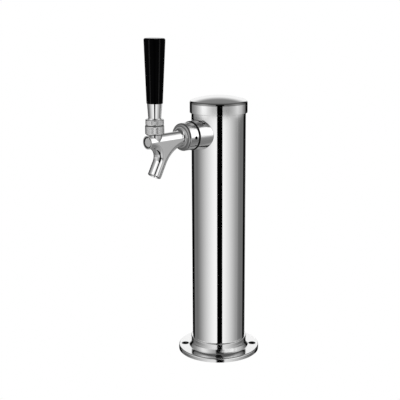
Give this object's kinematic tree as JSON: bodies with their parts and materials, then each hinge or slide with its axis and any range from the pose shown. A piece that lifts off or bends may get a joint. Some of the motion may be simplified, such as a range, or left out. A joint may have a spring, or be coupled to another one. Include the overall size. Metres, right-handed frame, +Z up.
{
  "type": "beer tower dispenser",
  "caption": "Polished round drinks column on a bolted base flange, with a draught tap whose tall lever handle pushes a valve shaft, and a lift-off domed cap.",
  "frame": {"origin": "centre of the base's underside, on the column's axis", "axes": "+Z up along the column; the tap points to -Y; +X is the drinker's right when they face the tap, looking along +Y"},
  "size_m": [0.117, 0.1896, 0.457],
  "materials": {
    "polished_steel": "polished",
    "chrome_plate": "satin",
    "black_handle": "gloss",
    "black_rubber": "matte",
    "white_plastic": "satin",
    "white_foam": "matte",
    "brass_parts": "satin"
  },
  "bodies": {
    "tower": {"base_flange": "polished_steel", "base_gasket": "black_rubber", "column_tube": "polished_steel", "insulation_sleeve": "white_foam", "insulation_plug": "white_foam", "shank_collar": "chrome_plate", "collar_gasket": "black_rubber", "faucet_shank": "chrome_plate", "saddle_washer": "white_plastic", "shank_locknut": "chrome_plate", "elbow_washer": "black_rubber", "line_elbow": "chrome_plate", "elbow_nut": "chrome_plate", "coupling_washer": "black_rubber", "slip_ring": "white_plastic", "coupling_nut": "chrome_plate", "faucet_body": "chrome_plate", "ball_washer": "white_plastic", "friction_washer": "white_plastic", "compression_bonnet": "chrome_plate"},
    "lever": {"lever": "chrome_plate", "lever_collar": "chrome_plate", "handle_ferrule": "chrome_plate", "handle_insert": "brass_parts", "tap_handle": "black_handle"},
    "shaft": {"faucet_shaft": "polished_steel", "valve_washer": "black_rubber", "valve_nut": "brass_parts"},
    "cap": {"column_cap": "polished_steel", "cap_seal": "black_rubber"}
  },
  "joints": [
    {"name": "lever_tilt", "type": "hinge", "parent": "tower", "child": "lever", "pos_m": [0, -0.1182, 0.3368], "axis": [1, 0, 0], "range_deg": [0, 25]},
    {"name": "shaft_slide", "type": "slide", "parent": "tower", "child": "shaft", "axis": [0, 1, 0], "range_m": [0, 0.0059]},
    {"name": "cap_lift", "type": "slide", "parent": "tower", "child": "cap", "axis": [0, 0, 1], "range_m": [0, 0.06]}
  ],
  "couplings": [
    {"joint": "shaft_slide", "follows": "lever_tilt", "m_per_rad": 0.013416}
  ]
}
